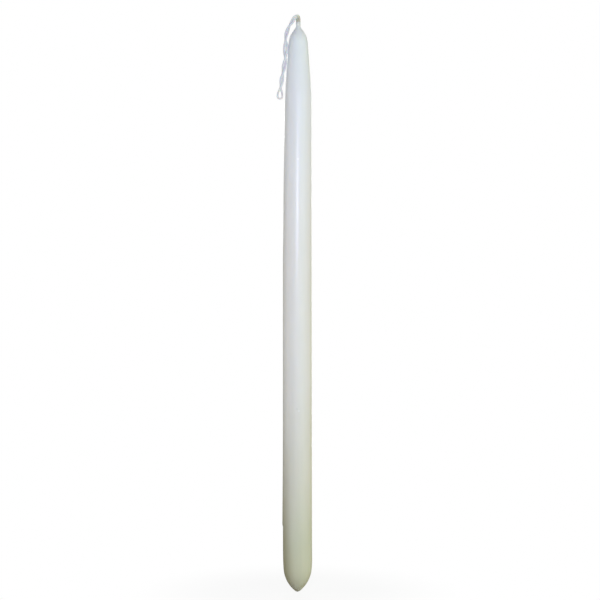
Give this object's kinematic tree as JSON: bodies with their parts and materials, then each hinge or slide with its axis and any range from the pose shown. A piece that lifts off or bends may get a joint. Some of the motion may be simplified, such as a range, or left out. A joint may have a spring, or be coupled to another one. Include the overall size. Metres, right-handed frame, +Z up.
{
  "type": "dipped taper candle",
  "caption": "Tall slim white dipped wax candle with a pointed foot and a bullet-shaped head, whose twisted cotton wick folds over and hangs down to an open eye.",
  "frame": {"origin": "centre of the lower end of the butt, the straight round stretch that a candlestick grips, 27.4 mm above the candle's lower tip", "axes": "+Z up along the candle towards the wick, +X to the right seen from the front, +Y away from the viewer"},
  "size_m": [0.028, 0.0232, 0.4606],
  "materials": {
    "wax": "satin",
    "wick_cotton": "matte"
  },
  "bodies": {
    "root": {"wax_body": "wax", "wick": "wick_cotton"}
  },
  "joints": []
}
